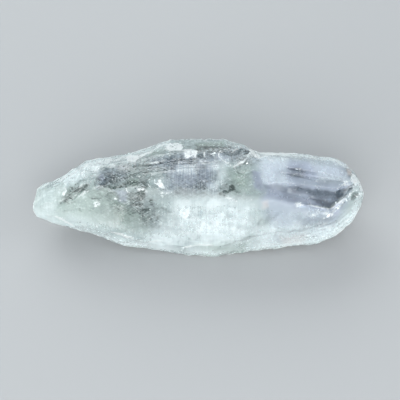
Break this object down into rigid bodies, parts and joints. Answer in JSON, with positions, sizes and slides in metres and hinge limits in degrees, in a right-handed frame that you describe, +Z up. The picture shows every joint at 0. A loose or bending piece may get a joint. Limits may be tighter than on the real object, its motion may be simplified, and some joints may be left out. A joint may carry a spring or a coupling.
{
  "type": "prasiolite crystal",
  "caption": "Long natural shard of pale green see-through quartz with a ridged broad side, a blunt tip and a rounded root end, lying on a flat prism face.",
  "frame": {"origin": "on the surface that the crystal lies on, under the middle of its bounding box", "axes": "+X along the crystal from the blunt tip to the rounded root end, +Y towards the back, +Z up out of the sole"},
  "size_m": [0.0824, 0.025, 0.021],
  "materials": {
    "quartz": "natural, partly frosted, with veils and fractures inside"
  },
  "bodies": {
    "root": {"crystal": "quartz"}
  },
  "joints": []
}
